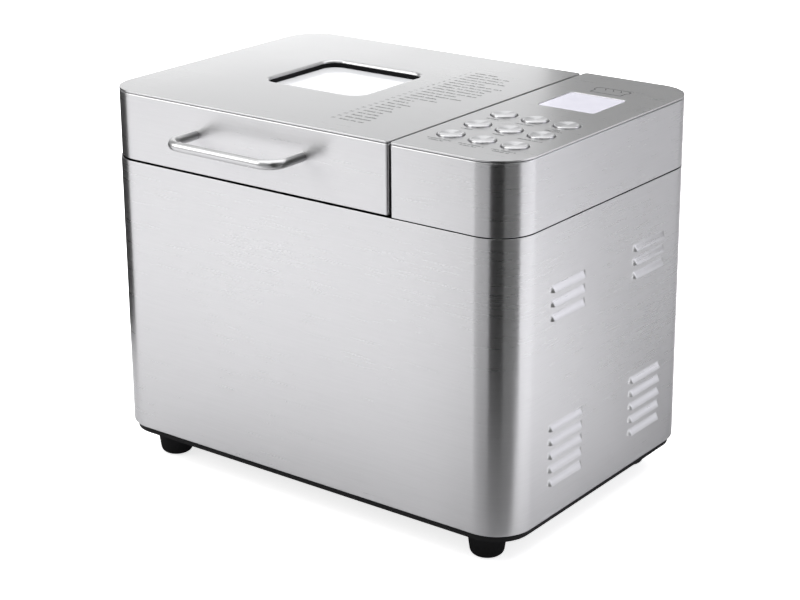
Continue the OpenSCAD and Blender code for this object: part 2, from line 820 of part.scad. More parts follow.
module kneading_paddle() color("dimgray") {
    z = pan_z + 5.5;
    translate([oven_x, oven_y, z]) {
        tube(0, 0, 0, 23, 9, pan_shaft_r);
        difference() {
            rotate([90, 0, 0]) translate([0, 0, -2.5]) linear_extrude(5)
                polygon([[0, 1], [30, 1], [40, 7], [36, 16], [14, 21], [0, 21]]);
            translate([0, 0, -1]) cylinder(h = 40, r = 8);
        }
    }
}

// Wire handle of the pan, folded forward over the rim, pivoting in the pan's ears
module pan_handle() color("gray") {
    y1 = oven_y - bail_reach;
    for (s = [-1, 1]) {
        x = oven_x + s * bail_x;
        inner = oven_x + s * (pan_w / 2 - 6);
        outer = x - s * bail_elbow;
        bar_x(min(inner, outer), max(inner, outer), oven_y, bail_z, bail_r);
        bend(outer, oven_y - bail_elbow, bail_z, bail_elbow, bail_r, s > 0 ? 0 : 90);
        bar_y(x, y1 + bail_bend, oven_y - bail_elbow, bail_z, bail_r);
        bend(x - s * bail_bend, y1 + bail_bend, bail_z, bail_bend, bail_r, s > 0 ? 270 : 180);
    }
    bar_x(oven_x - bail_x + bail_bend, oven_x + bail_x - bail_bend, y1, bail_z, bail_r);
}

// Space cut out of the lid around each hinge ear, open below and behind
module hinge_notches(width, grow) {
    for (x = hinge_x)
        translate([x - width / 2, hinge_y - hinge_r - grow, lid_z - 1])
            cube([width, 40, hinge_z - lid_z + hinge_r + grow + 1]);
}

// Places of the two screws that hold the handle, each pointing forward into a leg
module handle_legs() {
    for (x = [handle_x - handle_pitch / 2, handle_x + handle_pitch / 2])
        translate([x, lid_front, handle_z]) rotate([90, 0, 0]) children();
}

module lid_band() color("silver") {
    difference() {
        lift(lid_z, band_top) difference() {
            lid_outline(0);
            lid_outline(sheet_t);
        }
        hinge_notches(hinge_pin_l + 2 * slip, knuckle_t + slip);
        handle_legs() translate([0, 0, -5]) cylinder(h = 10, r = screw_r + 0.1);
    }
}

module window_pad(grow) {
    pad(window_x, window_y, window_w + 2 * grow, window_d + 2 * grow, window_r + grow);
}

module lid_top_plate() color("lightgray") {
    difference() {
        union() {
            lift(plate_z, top_z) lid_outline(0);
            lift(top_z - 3, top_z) window_pad(plate_t);
        }
        lift(top_z - 5, top_z + 1) window_pad(0);
    }
}

module lid_frame() color("black") {
    in = sheet_t + 0.2;
    shelf_z = lid_z + oven_t;
    shelf_t = 2;
    grow = 2 * (recess_gap + oven_t) + 1;
    difference() {
        union() {
            lift(shelf_z, plate_z) difference() {
                lid_outline(in);
                lid_outline(in + plastic_t);
            }
            lift(shelf_z, shelf_z + shelf_t) difference() {
                lid_outline(in);
                pad(oven_x, oven_y, oven_w + grow, oven_d + grow, oven_r + grow / 2);
            }
            for (x = lid_screw_x, y = lid_screw_y)
                translate([x, y, shelf_z]) cylinder(h = 14, r = 4);
            for (x = hinge_x) {
                bar_x(x - hinge_pin_l / 2, x + hinge_pin_l / 2, hinge_y, hinge_z, hinge_r + knuckle_t);
                translate([x - hinge_pin_l / 2, hinge_y - hinge_r - knuckle_t, shelf_z])
                    cube([hinge_pin_l, lid_back - in - hinge_y + hinge_r, hinge_z - shelf_z + 3]);
            }
        }
        hinge_notches(hinge_slot, 0.6);
        for (x = hinge_x) bar_x(x - 20, x + 20, hinge_y, hinge_z, hinge_pin_r);
        for (x = lid_screw_x, y = lid_screw_y)
            translate([x, y, lid_z - 1]) cylinder(h = 13, r = screw_r);
        handle_legs() translate([0, 0, -8]) cylinder(h = 10, r = screw_r + 0.1);
    }
}

// Steel liner under the lid, raised in the middle over the pan, with an opening under the glass
module lid_liner() color("lightsteelblue") {
    w = oven_w + 2 * recess_gap;
    d = oven_d + 2 * recess_gap;
    r = oven_r + recess_gap;
    difference() {
        union() {
            lift(lid_z, lid_z + oven_t) lid_outline(sheet_t + 0.5);
            lift(lid_z, gasket_z) pad(oven_x, oven_y, w + 2 * oven_t, d + 2 * oven_t, r + oven_t);
        }
        lift(lid_z - 1, ceiling_z) pad(oven_x, oven_y, w, d, r);
        lift(ceiling_z - 1, gasket_z + 1) window_pad(0);
        hinge_notches(hinge_slot, 0.6);
        for (x = lid_screw_x, y = lid_screw_y)
            translate([x, y, lid_z - 1]) cylinder(h = 5, r = screw_r + 0.1);
    }
}

module window_glass() color("aliceblue", 0.4) {
    lift(glass_z, glass_z + glass_t) window_pad(3);
}

module window_gasket() color("black") {
    difference() {
        lift(gasket_z, top_z - 3) window_pad(6);
        lift(gasket_z - 1, top_z) window_pad(0);
        lift(glass_z, glass_z + glass_t) window_pad(3);
    }
}

// Bent bar with two legs, each bored for a screw
module lid_handle() color("silver") {
    difference() {
        union() {
            for (s = [-1, 1]) {
                x = handle_x + s * handle_pitch / 2;
                bar_y(x, handle_y + handle_bend, lid_front, handle_z, handle_r);
                bend(x - s * handle_bend, handle_y + handle_bend, handle_z, handle_bend, handle_r,
                    s > 0 ? 270 : 180);
            }
            bar_x(handle_x - handle_pitch / 2 + handle_bend, handle_x + handle_pitch / 2 - handle_bend,
                handle_y, handle_z, handle_r);
        }
        handle_legs() translate([0, 0, -1]) cylinder(h = 12, r = screw_r);
    }
}

module lid_screws() color("lightgray") {
    inner = sheet_t + 0.2 + plastic_t;
    handle_legs() translate([0, 0, -inner]) screw(inner + 9);
    for (x = lid_screw_x, y = lid_screw_y) translate([x, y, lid_z]) screw(11);
}

module hinge_pins() color("lightgray") {
    for (x = hinge_x) bar_x(x - hinge_pin_l / 2, x + hinge_pin_l / 2, hinge_y, hinge_z, hinge_pin_r);
}

module control_band() color("silver") {
    lift(shell_top + panel_seam, band_top) difference() {
        panel_outline(0);
        panel_outline(sheet_t);
    }
}

module button_place(i) {
    col = i % 3;
    row = floor(i / 3);
    translate([button_x0 + col * button_pitch_x, button_y0 + row * button_pitch_y, 0]) children();
}

module control_top_plate() color("lightgray") {
    difference() {
        lift(plate_z, top_z) panel_outline(0);
        for (i = [0:8])
            button_place(i) translate([0, 0, plate_z - 1]) cylinder(h = 5, r = button_r + button_gap);
        lift(plate_z - 1, top_z + 1) pad(lcd_x, lcd_y, lcd_w, lcd_d, 3);
    }
}

// Plastic tub of the control panel, with a ledge on the deck and posts for the board
module control_housing() color("black") {
    in = sheet_t + 0.2;
    difference() {
        union() {
            lift(deck_z, plate_z) difference() {
                panel_outline(in);
                panel_outline(in + plastic_t);
            }
            lift(deck_z, deck_z + 2) panel_outline(in);
            for (x = board_post_x, y = board_post_y)
                translate([x, y, deck_z]) cylinder(h = board_z - deck_z, r = 3.5);
        }
        lift(deck_z - 1, deck_z + 5) rounded(panel_left + 20, front + 46, right - 26, back - 46, 6, 6);
    }
}

board_x0 = panel_left + 10;
board_x1 = right - 9;
board_y0 = front + 24;
board_y1 = back - 32;
board_post_x = [board_x0 + 5, board_x1 - 5];
board_post_y = [board_y0 + 5, board_y1 - 5];

// Board with one switch under each button and the display module
module control_board() color("darkgreen") {
    z = board_z + board_t;
    lift(board_z, z) rounded(board_x0, board_y0, board_x1, board_y1, 2, 2);
    for (i = [0:8]) button_place(i) {
        translate([-3, -3, z - eps]) cube([6, 6, switch_h]);
        translate([0, 0, z + switch_h - eps]) cylinder(h = 0.8, r = 1.7);
    }
    lift(z - eps, plate_z - 2.4) pad(lcd_x, lcd_y, lcd_w + 4, lcd_d + 4, 2);
    translate([board_x0 + 16, board_y1 - 8, z - eps]) cube([22, 6, 8]);
}

module display_window() color("lavender") {
    lift(plate_z - 2, plate_z - 0.4) pad(lcd_x, lcd_y, lcd_w + 4, lcd_d + 4, 4);
    lift(plate_z - 0.5, top_z - 0.3)
        pad(lcd_x, lcd_y, lcd_w - 2 * slip, lcd_d - 2 * slip, 3 - slip);
}

// Button: a dished cap, a flange under the panel and a stem that stops above its switch
module button(i) color("silver") {
    flange_z = plate_z - slip - 1.2;
    stem_z = switch_top + button_travel + slip;
    cap_z = top_z + button_proud;
    dish_r = 46;
    button_place(i) {
        difference() {
            translate([0, 0, flange_z]) cylinder(h = cap_z - flange_z, r = button_r);
            translate([0, 0, cap_z + dish_r - 0.7]) sphere(dish_r);
        }
        translate([0, 0, flange_z]) cylinder(h = 1.2, r = button_r + button_gap + 0.9);
        translate([0, 0, stem_z]) cylinder(h = flange_z - stem_z + eps, r = 2.6);
    }
}

body_shell();
back_panel();
base_tray();
feet();
case_screws();
chassis_plate();
deck_frame();
oven_liner();
heating_element();
oven_sensors();
pan_socket();
socket_clips();
shaft_housing();
shaft_bushes();
main_shaft();
driven_pulley();
drive_coupling();
drive_belt();
motor_pulley();
motor_shaft();
motor_rotor();
motor_fan();
motor_stator();
motor_windings();
motor_brackets();
motor_grommets();
motor_bolts();
run_capacitor();
power_board();
cord_gland();
bread_pan();
pan_base();
pan_shaft();
pan_coupling();
kneading_paddle();
pan_handle();
lid_band();
lid_top_plate();
lid_frame();
lid_liner();
window_glass();
window_gasket();
lid_handle();
lid_screws();
hinge_pins();
hinge_brackets();
control_band();
control_top_plate();
control_housing();
control_board();
display_window();
button(0);  // button_menu
button(1);  // button_crust
button(2);  // button_loaf
button(3);  // button_hours
button(4);  // button_minutes
button(5);  // button_delay
button(6);  // button_pause
button(7);  // button_start
button(8);  // button_stop
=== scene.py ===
import json
import math
import random

import bpy
from mathutils import Matrix, Vector
from mathutils.geometry import tessellate_polygon


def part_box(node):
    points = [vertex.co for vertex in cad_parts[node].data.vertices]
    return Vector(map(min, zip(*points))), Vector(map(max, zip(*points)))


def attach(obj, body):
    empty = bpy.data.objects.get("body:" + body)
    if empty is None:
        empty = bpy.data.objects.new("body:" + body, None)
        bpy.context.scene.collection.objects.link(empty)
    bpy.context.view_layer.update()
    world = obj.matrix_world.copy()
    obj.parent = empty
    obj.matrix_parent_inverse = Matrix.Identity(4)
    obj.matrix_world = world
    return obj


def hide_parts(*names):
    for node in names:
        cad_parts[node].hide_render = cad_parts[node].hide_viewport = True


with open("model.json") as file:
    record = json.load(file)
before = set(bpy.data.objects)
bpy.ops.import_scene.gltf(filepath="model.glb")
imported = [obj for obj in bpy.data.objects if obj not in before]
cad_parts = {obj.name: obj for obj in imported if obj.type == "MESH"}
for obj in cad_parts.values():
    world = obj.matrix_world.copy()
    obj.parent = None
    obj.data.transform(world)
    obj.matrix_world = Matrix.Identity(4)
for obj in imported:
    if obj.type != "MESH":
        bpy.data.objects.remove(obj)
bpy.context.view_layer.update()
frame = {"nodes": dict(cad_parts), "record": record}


# Case wrap
# One sheet of brushed stainless steel, 1 mm thick, bent round the four corners and lapped behind the
# back panel. The louvres of both sides are lanced and pressed out of it, so each stays one piece with
# the sheet and is open along its lower lip. The lower edge turns in over the plastic base.
mm = 0.001


class Wire:
    """An output of a node. Arithmetic on it adds Math nodes."""

    def __init__(self, socket):
        self.socket = socket

    def math(self, operation, first, second):
        step = self.socket.id_data.nodes.new("ShaderNodeMath")
        step.operation = operation
        for hole, value in zip(step.inputs, (first, second)):
            connect(hole, value)
        return Wire(step.outputs[0])

    def __add__(self, other):
        return self.math("ADD", self, other)

    def __radd__(self, other):
        return self.math("ADD", other, self)

    def __sub__(self, other):
        return self.math("SUBTRACT", self, other)

    def __rsub__(self, other):
        return self.math("SUBTRACT", other, self)

    def __mul__(self, other):
        return self.math("MULTIPLY", self, other)

    def __rmul__(self, other):
        return self.math("MULTIPLY", other, self)


def connect(hole, value):
    if isinstance(value, Wire):
        hole.id_data.links.new(value.socket, hole)
    else:
        hole.default_value = value


class Finish:
    """The surface of one material: its nodes around one Principled shader."""

    def __init__(self, name, constants):
        self.material = bpy.data.materials.new(name)
        self.material.use_nodes = True
        self.tree = self.material.node_tree
        self.shader = next(n for n in self.tree.nodes if n.type == "BSDF_PRINCIPLED")
        for socket, value in constants.items():
            self.shader.inputs[socket].default_value = value
        self.place = self.node("ShaderNodeTexCoord", {}, {}, "Object")

    def node(self, kind, settings, sockets, out=0):
        made = self.tree.nodes.new(kind)
        for name, value in settings.items():
            setattr(made, name, value)
        for socket, value in sockets.items():
            connect(made.inputs[socket], value)
        return Wire(made.outputs[out])

    def stretched(self, scale):
        return self.node("ShaderNodeMapping", {}, {"Vector": self.place, "Scale": scale})

    def noise(self, vector, scale, detail=3.0, rough=0.55):
        return self.node(
            "ShaderNodeTexNoise", {},
            {"Vector": vector, "Scale": scale, "Detail": detail, "Roughness": rough}, "Fac",
        )

    def blend(self, factor, low, high):
        return self.node(
            "ShaderNodeMix", {"data_type": "RGBA"}, {0: factor, 6: (*low, 1), 7: (*high, 1)}, 2,
        )

    def bump(self, height, strength, distance):
        normal = self.node(
            "ShaderNodeBump", {}, {"Height": height, "Strength": strength, "Distance": distance}, "Normal",
        )
        self.wear(Normal=normal)

    def wear(self, **sockets):
        for name, value in sockets.items():
            connect(self.shader.inputs[name.replace("_", " ")], value)


def brushed_steel(name, strokes, dark, light, rough, across=0.0):
    """Steel brushed one way: strokes is the grain's frequency along each axis, low along the strokes.
    Across is how much further upright light spreads over strokes that run level round the piece."""
    steel = Finish(name, {"Metallic": 1.0, "Anisotropic": across, "Anisotropic Rotation": 0.25})
    grain = steel.noise(steel.stretched(strokes), 1.0, 5.0, 0.72)
    cloud = steel.noise(steel.place, 7.0, 2.0)
    steel.wear(
        Base_Color=steel.blend(grain, dark, light),
        Roughness=rough + 0.16 * (grain - 0.5) + 0.08 * (cloud - 0.5),
    )
    steel.bump(grain, 0.05, 0.04 * mm)
    return steel.material


class Stock:
    """Points and faces of a piece while it is being made."""

    def __init__(self):
        self.points = []
        self.faces = []

    def ring(self, points):
        start = len(self.points)
        self.points.extend(points)
        return list(range(start, start + len(points)))

    def join(self, low, high, skip=None):
        count = len(low)
        for i in range(count):
            j = (i + 1) % count
            if not (skip and skip(i, j)):
                self.faces.append((low[i], low[j], high[j], high[i]))

    def sweep(self, line, rows, closed=False):
        """Carries an outline through rows of (inset, height)."""
        rings = [
            self.ring([(x - nx * inset, y - ny * inset, z) for x, y, nx, ny in line])
            for inset, z in rows
        ]
        for low, high in zip(rings, rings[1:] + rings[:1] if closed else rings[1:]):
            self.join(low, high)
        return rings

    def sheet(self, outer, holes=(), up=True):
        """Fills the flat space between an outer ring and its holes."""
        loops = [outer, *holes]
        index = [i for loop in loops for i in loop]
        flat = [[Vector(self.points[i]) for i in loop] for loop in loops]
        for face in tessellate_polygon(flat):
            a, b, c = (Vector(self.points[index[i]]) for i in face)
            corners = [index[i] for i in face]
            if ((b - a).cross(c - a).z > 0) != up:
                corners.reverse()
            self.faces.append(tuple(corners))


def outline(low, high, radii, steps=12, stops=((), (), (), ())):
    """Rounded rectangle as points with their outward normals, counter-clockwise from the front's left
    end. The radii are those of the front left, front right, back right and back left corners. Stops
    are more points on the front, right, back and left sides."""
    (x0, y0), (x1, y1) = low, high
    fl, fr, br, bl = radii
    turns = ((x1 - fr, y0 + fr, fr, -90), (x1 - br, y1 - br, br, 0),
             (x0 + bl, y1 - bl, bl, 90), (x0 + fl, y0 + fl, fl, 180))
    edges = ((None, y0, 0, -1), (x1, None, 1, 0), (None, y1, 0, 1), (x0, None, -1, 0))
    line = []
    for (cx, cy, r, start), (ex, ey, nx, ny), side in zip(turns, edges, stops):
        for s in side:
            line.append((s if ex is None else ex, s if ey is None else ey, nx, ny))
        for i in range(steps + 1):
            a = math.radians(start + 90 * i / steps)
            line.append((cx + r * math.cos(a), cy + r * math.sin(a), math.cos(a), math.sin(a)))
    return line


def rolled(z, radius, up, steps=5):
    """Rows of an edge that rolls inwards with a radius, ending at height z."""
    rows = []
    for i in range(steps + 1):
        a = math.radians(90 * i / steps)
        rows.append((radius * (1 - math.cos(a)), z - up * radius * (1 - math.sin(a))))
    return rows


def finish_piece(name, stock, material, slot, body, *nodes, thick=0.0, sharp=40):
    """Makes the piece, thickens it inwards if it is a sheet, and fixes it to its body."""
    mesh = bpy.data.meshes.new(name)
    mesh.from_pydata(stock.points, [], stock.faces)
    piece = bpy.data.objects.new(name, mesh)
    bpy.context.scene.collection.objects.link(piece)
    if thick:
        shell = piece.modifiers.new("thickness", "SOLIDIFY")
        shell.thickness = thick
        shell.offset = -1
        settled = bpy.data.meshes.new_from_object(
            piece.evaluated_get(bpy.context.evaluated_depsgraph_get())
        )
        piece.modifiers.clear()
        piece.data = settled
        mesh = settled
        mesh.name = name
    mesh.shade_smooth()
    mesh.set_sharp_from_angle(angle=math.radians(sharp))
    weight = piece.modifiers.new("flat_faces", "WEIGHTED_NORMAL")
    weight.keep_sharp = True
    mesh.materials.clear()
    mesh.materials.append(material)
    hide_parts(*nodes)
    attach(piece, body)


case_low, case_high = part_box("control_top_plate")
right, front, back = case_high.x, case_low.y, case_high.y
shell_low, shell_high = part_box("body_shell")
shell_z, shell_top = shell_low.z, shell_high.z
corner = 29 * mm
louvre_long, louvre_high, louvre_out, louvre_ramp = 44 * mm, 5.4 * mm, 2.5 * mm, 3.4 * mm
louvre_y = [front + 69.5 * mm, back - 66.3 * mm]
louvre_z = [shell_top - (43.4 + 10.1 * i) * mm for i in range(3)]
louvre_z += [shell_z + (27 + 10.1 * i) * mm for i in range(5)]
ramp_steps, rise_steps = 6, 7


def smooth(t):
    t = min(1.0, max(0.0, t))
    return t * t * (3 - 2 * t)


def pressed(y, z):
    """How far the sheet stands out at a place on the side, louvres only."""
    for yc in louvre_y:
        along = smooth((louvre_long / 2 - abs(y - yc)) / louvre_ramp)
        for zc in louvre_z:
            fall = (zc + louvre_high / 2 - z) / louvre_high
            if along > 0 and 0 < fall < 0.9999:
                return louvre_out * along * (0.6 * fall + 0.4 * smooth(fall))
    return 0.0


side_stops = []
for yc in louvre_y:
    for end in (-1, 1):
        climb = [yc + end * (louvre_long / 2 - louvre_ramp * i / ramp_steps) for i in range(ramp_steps + 1)]
        side_stops += climb if end < 0 else climb[::-1]
panel_low, panel_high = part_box("back_panel")
back_lap = 7 * mm
door_x = panel_high.x - back_lap
door_z0, door_z1 = panel_low.z + back_lap, panel_high.z - back_lap
case_line = outline(
    (-right, front), (right, back), (corner,) * 4, 14,
    ((), side_stops, (door_x, -door_x), side_stops[::-1]),
)
heights = [(2.7 * mm, shell_z), (1.4 * mm, shell_z)]
heights += [(inset, z) for inset, z in rolled(shell_z, 1.0 * mm, -1)][::-1]
flats = {door_z0, door_z1}
lip_gap = 0.02 * mm
for zc in louvre_z:
    z0 = zc - louvre_high / 2
    flats |= {z0, z0 + lip_gap} | {z0 + louvre_high * i / rise_steps for i in range(1, rise_steps + 1)}
heights += [(0.0, z) for z in sorted(flats)]
heights += rolled(shell_top, 0.3 * mm, 1)
wrap = Stock()
low_ring = None
for inset, z in heights:
    ring = []
    for x, y, nx, ny in case_line:
        out = pressed(y, z) if abs(nx) > 0.999 and inset == 0 else 0.0
        ring.append((x + nx * (out - inset), y + ny * (out - inset), z))
    high_ring = wrap.ring(ring)
    if low_ring:
        low_z = wrap.points[low_ring[0]][2]
        in_door = door_z0 - lip_gap < low_z and z < door_z1 + lip_gap

        def cut(i, j):
            a, b = case_line[i], case_line[j]
            if in_door and a[3] > 0.999 and b[3] > 0.999 and max(abs(a[0]), abs(b[0])) < door_x + lip_gap:
                return True
            if abs(a[2]) < 0.999 or abs(b[2]) < 0.999 or z - low_z > 2 * lip_gap:
                return False
            return max(pressed(a[1], z), pressed(b[1], z)) > 0.25 * mm

        wrap.join(low_ring, high_ring, skip=cut)
    low_ring = high_ring
case_steel = brushed_steel(
    "case_steel", (22, 22, 800), (0.59, 0.59, 0.595), (0.67, 0.67, 0.675), 0.30, 0.75,
)
finish_piece("case_wrap", wrap, case_steel, "case_steel", "root", "body_shell", thick=0.9 * mm)


# Lid sides
# A band of the same steel round the lid, with the case's corners on the left and tight bends beside
# the control panel. It stands half a millimetre closer to the panel than the plain part does. Its upper
# edge rolls in under the top plate, and two slots at the back clear the hinge knuckles.
lid_low, lid_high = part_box("lid_top_plate")
band_low, band_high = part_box("lid_band")
lid_radii = (corner - 0.8 * mm, 2 * mm, 2 * mm, corner - 0.8 * mm)
pins_low, pins_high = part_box("hinge_pins")
knuckle_half = 10.3 * mm
hinge_x = [pins_low.x + 10 * mm, pins_high.x - 10 * mm]
slot_x = [x + side * knuckle_half for x in reversed(hinge_x) for side in (1, -1)]
pin_r, knuckle_clear = 2 * mm, 6.8 * mm
slot_top = pins_low.z + pin_r + knuckle_clear
lid_close = 0.5 * mm
lid_line = outline(
    (lid_low.x, lid_low.y), (lid_high.x + lid_close, lid_high.y), lid_radii, 12, ((), (), slot_x, ()),
)
band = Stock()
rows = [(inset, z) for inset, z in rolled(band_low.z, 0.25 * mm, -1)][::-1]
rows += [(0.0, slot_top)] + rolled(band_high.z, 1.0 * mm, 1)
low_ring = None
for inset, z in rows:
    high_ring = band.ring([(x - nx * inset, y - ny * inset, z) for x, y, nx, ny in lid_line])
    if low_ring:

        def cut(i, j):
            a, b = lid_line[i], lid_line[j]
            middle = (a[0] + b[0]) / 2
            behind = a[3] > 0.999 and b[3] > 0.999 and z < slot_top + lip_gap
            return behind and any(abs(middle - x) < knuckle_half for x in hinge_x)

        band.join(low_ring, high_ring, skip=cut)
    low_ring = high_ring
finish_piece("lid_sides", band, case_steel, "case_steel", "lid", "lid_band", thick=0.8 * mm)


# Lid top
# The steel plate on top of the lid. Its outer edge is hemmed, and the edge of the window is drawn
# down with a soft radius until it rests on the gasket.
top_z, plate_z = lid_high.z, lid_high.z - 1.2 * mm
edge = 0.3 * mm
glass_low, glass_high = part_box("window_glass")
glass_lap = 3 * mm
window_low = (glass_low.x + glass_lap, glass_low.y + glass_lap)
window_high = (glass_high.x - glass_lap, glass_high.y - glass_lap)
window_r = 12 * mm
window_roll = 2 * mm
window_line = outline(window_low, window_high, (window_r,) * 4, 12)
top_steel = brushed_steel(
    "top_steel", (22, 800, 800), (0.58, 0.58, 0.585), (0.68, 0.68, 0.68), 0.30,
)
plate = Stock()
hem = plate.sweep(lid_line, [(0.0, plate_z)] + rolled(top_z, edge, 1) + [(1.6 * mm, top_z)])
drawn = [(-inset, z) for inset, z in reversed(rolled(top_z, window_roll, 1, 7))]
lip = plate.sweep(window_line, [(-window_roll - 1.5 * mm, top_z)] + drawn)
plate.sheet(hem[-1], [lip[0]])
finish_piece("lid_top", plate, top_steel, "top_steel", "lid", "lid_top_plate", thick=0.9 * mm)


# Window
# A pane of 4 mm toughened glass, pale grey and mostly opaque, ground round its edge and held in a
# black rubber gasket between the lid's top and its liner.
pane_glass = Finish("pane_glass", {"Specular IOR Level": 0.8, "Coat Weight": 0.3, "Coat Roughness": 0.03})
haze = pane_glass.noise(pane_glass.place, 26.0, 4.0)
pane_glass.wear(
    Base_Color=pane_glass.blend(haze, (0.64, 0.65, 0.67), (0.74, 0.74, 0.75)),
    Roughness=0.10 + 0.10 * haze,
    Alpha=0.84 + 0.06 * haze,
)
pane = Stock()
pane_line = outline(
    (glass_low.x, glass_low.y), (glass_high.x, glass_high.y), (window_r + glass_lap,) * 4, 10,
)
ground = 0.4 * mm
rows = [
    (ground, glass_low.z), (0.0, glass_low.z + ground),
    (0.0, glass_high.z - ground), (ground, glass_high.z),
]
rings = pane.sweep(pane_line, rows)
pane.sheet(rings[0], up=False)
pane.sheet(rings[-1])
finish_piece("window_pane", pane, pane_glass.material, "glass", "lid", "window_glass")


def moulded(name, dark, light, rough, grain, depth, shine=0.35):
    """Moulded plastic or rubber: a fine even grain that also varies the gloss, with slow changes of tone."""
    skin = Finish(name, {"Specular IOR Level": shine})
    fine = skin.noise(skin.place, grain, 3.0)
    slow = skin.noise(skin.place, 30.0, 2.0)
    skin.wear(Base_Color=skin.blend(slow, dark, light), Roughness=rough + 0.18 * (fine - 0.5))
    skin.bump(fine, 0.35, depth)
    return skin.material


rubber = moulded("rubber", (0.003, 0.003, 0.003), (0.007, 0.007, 0.008), 0.66, 1500.0, 0.03 * mm, 0.08)
seal_low, seal_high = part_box("window_gasket")
seal_out, lip_t, lip_end = window_low[0] - seal_low.x, 0.85 * mm, top_z - window_roll - 0.06 * mm
seal = Stock()
seal.sweep(window_line, [
    (0.0, seal_low.z), (0.0, glass_low.z), (-glass_lap, glass_low.z), (-glass_lap, glass_high.z),
    (0.0, glass_high.z), (0.0, lip_end), (-lip_t, lip_end), (-lip_t, seal_high.z),
    (-seal_out, seal_high.z), (-seal_out, seal_low.z),
], closed=True)
finish_piece("window_seal", seal, rubber, "rubber", "lid", "window_gasket")


# Lid handle
# A bent bar of polished steel. Each leg ends square on the lid's front and is held by a screw from
# inside.
bar_low, bar_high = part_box("lid_handle")
bar_r = (bar_high.z - bar_low.z) / 2
bar_z = bar_low.z + bar_r
bend_r = 12 * mm
bar_y = bar_low.y + bar_r
leg_x = [bar_low.x + bar_r, bar_high.x - bar_r]
bar_steel = brushed_steel("bar_steel", (90, 260, 260), (0.56, 0.56, 0.565), (0.64, 0.64, 0.64), 0.30)


def tube(stock, line, radius, sides=28):
    """Round bar along a line of points that lies in one level plane or has no sharp turns."""
    rings = []
    for k, point in enumerate(line):
        before, after = line[max(k - 1, 0)], line[min(k + 1, len(line) - 1)]
        ahead = (Vector(after) - Vector(before)).normalized()
        side = ahead.cross(Vector((0, 0, 1)))
        side = side.normalized() if side.length > 0.01 else Vector((1, 0, 0))
        up = side.cross(ahead)
        rings.append(stock.ring([
            tuple(Vector(point) + radius * (math.cos(a) * side + math.sin(a) * up))
            for a in (math.tau * i / sides for i in range(sides))
        ]))
    for low, high in zip(rings, rings[1:]):
        stock.join(low, high)
    stock.faces.append(tuple(reversed(rings[0])))
    stock.faces.append(tuple(rings[-1]))


def arc(cx, cy, radius, start, end, z, steps=20):
    angles = (math.radians(start + (end - start) * i / steps) for i in range(steps + 1))
    return [(cx + radius * math.cos(a), cy + radius * math.sin(a), z) for a in angles]


bar = Stock()
line = [(leg_x[0], lid_low.y, bar_z)]
line += arc(leg_x[0] + bend_r, bar_y + bend_r, bend_r, 180, 270, bar_z)
line += arc(leg_x[1] - bend_r, bar_y + bend_r, bend_r, 270, 360, bar_z)
line += [(leg_x[1], lid_low.y, bar_z)]
tube(bar, line, bar_r)
finish_piece("lid_bar", bar, bar_steel, "polished_steel", "lid", "lid_handle")


# Control panel sides and top
# Steel like the lid's, fixed to a plastic tub on the right of the machine. The top plate has nine
# round holes for the buttons and a square one for the display.
side_close = 0.5 * mm
panel_line = outline((case_low.x - side_close, front), (right, back), (2 * mm, corner, corner, 2 * mm), 14)
side_low, side_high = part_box("control_band")
sides = Stock()
sides.sweep(panel_line, rolled(side_low.z, 0.4 * mm, -1)[::-1] + rolled(side_high.z, 1.0 * mm, 1))
finish_piece("panel_sides", sides, case_steel, "case_steel", "root", "control_band", thick=0.8 * mm)

buttons = ["menu", "crust", "loaf", "hours", "minutes", "delay", "pause", "start", "stop"]
cap_r, cap_gap, cap_flange = 8.75 * mm, 1.0 * mm, 1.8 * mm
centres = []
for name in buttons:
    low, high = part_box("button_" + name)
    centres.append(((low.x + high.x) / 2, (low.y + high.y) / 2))
screen_low, screen_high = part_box("display_window")
screen_lap = 2 * mm
hole_low = (screen_low.x + screen_lap, screen_low.y + screen_lap)
hole_high = (screen_high.x - screen_lap, screen_high.y - screen_lap)


def circle(x, y, r, steps=48):
    turn = (math.tau * i / steps for i in range(steps))
    return [(x + r * math.cos(a), y + r * math.sin(a), math.cos(a), math.sin(a)) for a in turn]


panel = Stock()
hem = panel.sweep(panel_line, [(0.0, plate_z)] + rolled(top_z, edge, 1) + [(1.6 * mm, top_z)])
cut_edge = [(-inset, z) for inset, z in reversed(rolled(top_z, 0.35 * mm, 1, 3))]
holes = []
for x, y in centres:
    rows = [(-0.9 * mm, top_z)] + cut_edge + [(0.0, plate_z)]
    holes.append(panel.sweep(circle(x, y, cap_r + cap_gap), rows)[0])
screen_line = outline(hole_low, hole_high, (3 * mm,) * 4, 8)
holes.append(panel.sweep(screen_line, [(-0.9 * mm, top_z)] + cut_edge + [(0.0, plate_z)])[0])
panel.sheet(hem[-1], holes)
finish_piece("panel_top", panel, top_steel, "top_steel", "root", "control_top_plate", thick=0.9 * mm)


# Buttons
# Nine turned caps with a shallow dish, spun bright, so that light runs across them in two wedges.
# Each stands on a stem over its switch, with a flange under the plate that keeps it in.
def turned(stock, x, y, profile, steps=48):
    """A turned part: the profile is (radius, height) from its middle outwards or downwards."""
    rings = [stock.ring([(px, py, z) for px, py, _, _ in circle(x, y, r, steps)]) for r, z in profile]
    for low, high in zip(rings, rings[1:]):
        stock.join(high, low)
    return rings


